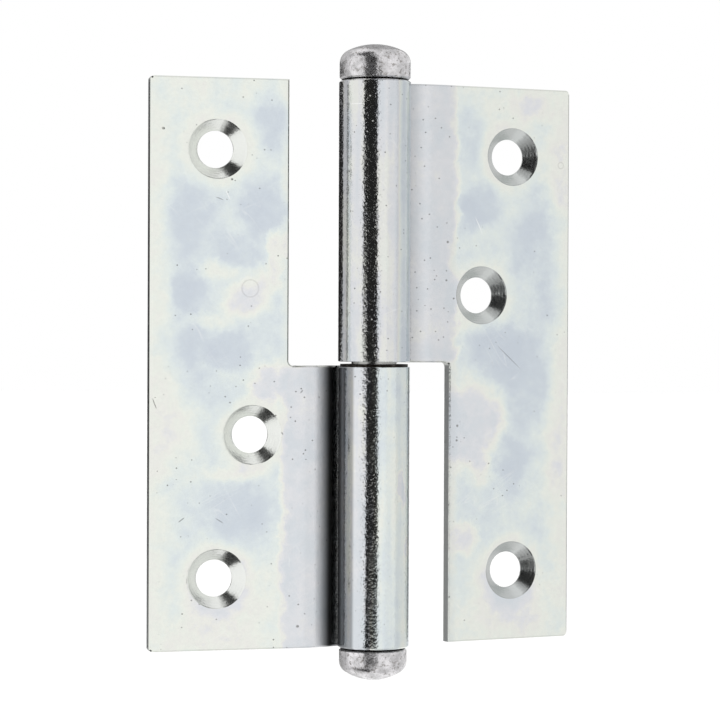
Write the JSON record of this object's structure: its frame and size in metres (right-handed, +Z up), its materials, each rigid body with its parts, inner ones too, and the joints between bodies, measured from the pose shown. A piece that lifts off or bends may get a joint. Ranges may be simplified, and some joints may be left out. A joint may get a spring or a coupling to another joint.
{
  "type": "lift-off hinge",
  "caption": "Lift-off hinge with two cranked and rolled steel leaves on a fixed pin, domed ends and countersunk screw holes.",
  "frame": {"origin": "on the mounting face of the frame leaf, midway between its two end screw holes", "axes": "+X from the frame leaf to the door leaf, +Y out of the back of the frame leaf into what it is screwed to, +Z up along the pin"},
  "size_m": [0.0639, 0.0132, 0.0899],
  "materials": {
    "frame_leaf": "zinc plated, satin",
    "door_leaf": "zinc plated, satin",
    "hinge_pin": "zinc plated, slightly mottled",
    "top_cap": "zinc plated, slightly mottled",
    "washer": "dark oiled steel"
  },
  "bodies": {
    "frame_side": {"frame_leaf": "frame_leaf", "hinge_pin": "hinge_pin"},
    "washer_ring": {"washer": "washer"},
    "door_side": {"door_leaf": "door_leaf", "top_cap": "top_cap"}
  },
  "joints": [
    {"name": "swing", "type": "hinge", "parent": "frame_side", "child": "washer_ring", "pos_m": [0.0227, -0.0021, 0], "axis": [0, 0, 1], "range_deg": [-191.3, 148.7]},
    {"name": "lift_off", "type": "slide", "parent": "washer_ring", "child": "door_side", "axis": [0, 0, 1], "range_m": [-0.00034, 0.034]}
  ]
}
